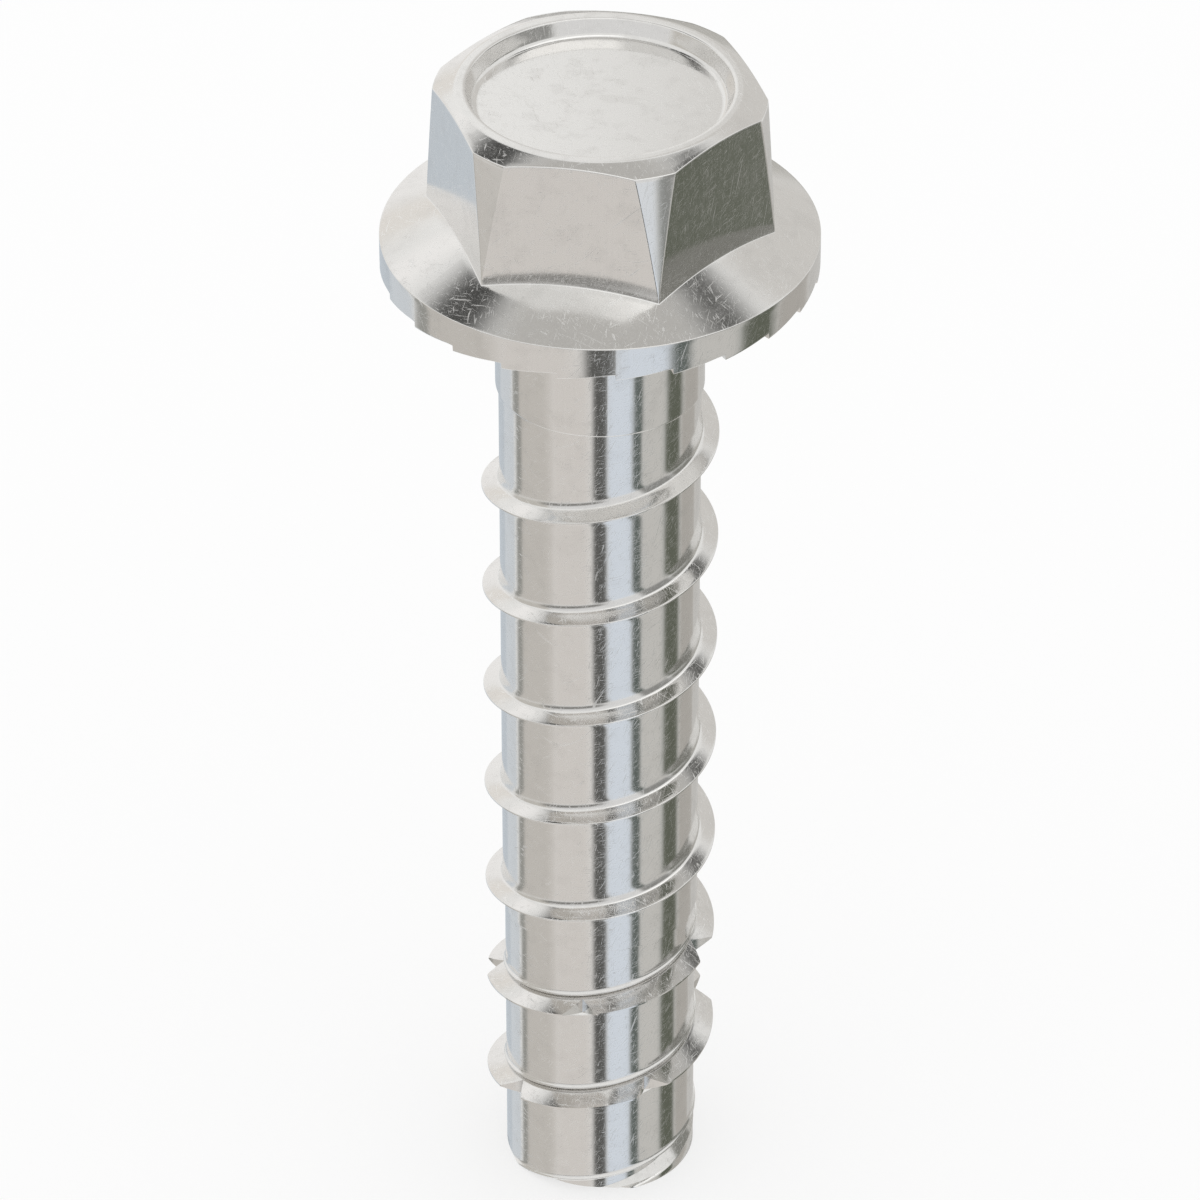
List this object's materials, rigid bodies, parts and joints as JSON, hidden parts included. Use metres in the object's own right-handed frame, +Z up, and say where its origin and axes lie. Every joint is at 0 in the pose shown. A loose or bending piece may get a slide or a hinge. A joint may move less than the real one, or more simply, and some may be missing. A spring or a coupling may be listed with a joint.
{
  "type": "concrete screw",
  "caption": "Flanged hexagon-head screw anchor that cuts its own thread in concrete: coarse high thread, serrated coil at the flat tip, ratchet teeth under the flange.",
  "frame": {"origin": "centre of the flat tip that the screw stands on", "axes": "+Z up the screw's axis towards the head, +X through a corner of the hexagon"},
  "size_m": [0.0206, 0.0206, 0.0617],
  "materials": {
    "stainless_steel": "bright, fine random scratches",
    "hardened_steel": "bright, fine ground edges"
  },
  "bodies": {
    "root": {"screw_body": "stainless_steel", "cutting_thread": "hardened_steel"}
  },
  "joints": []
}
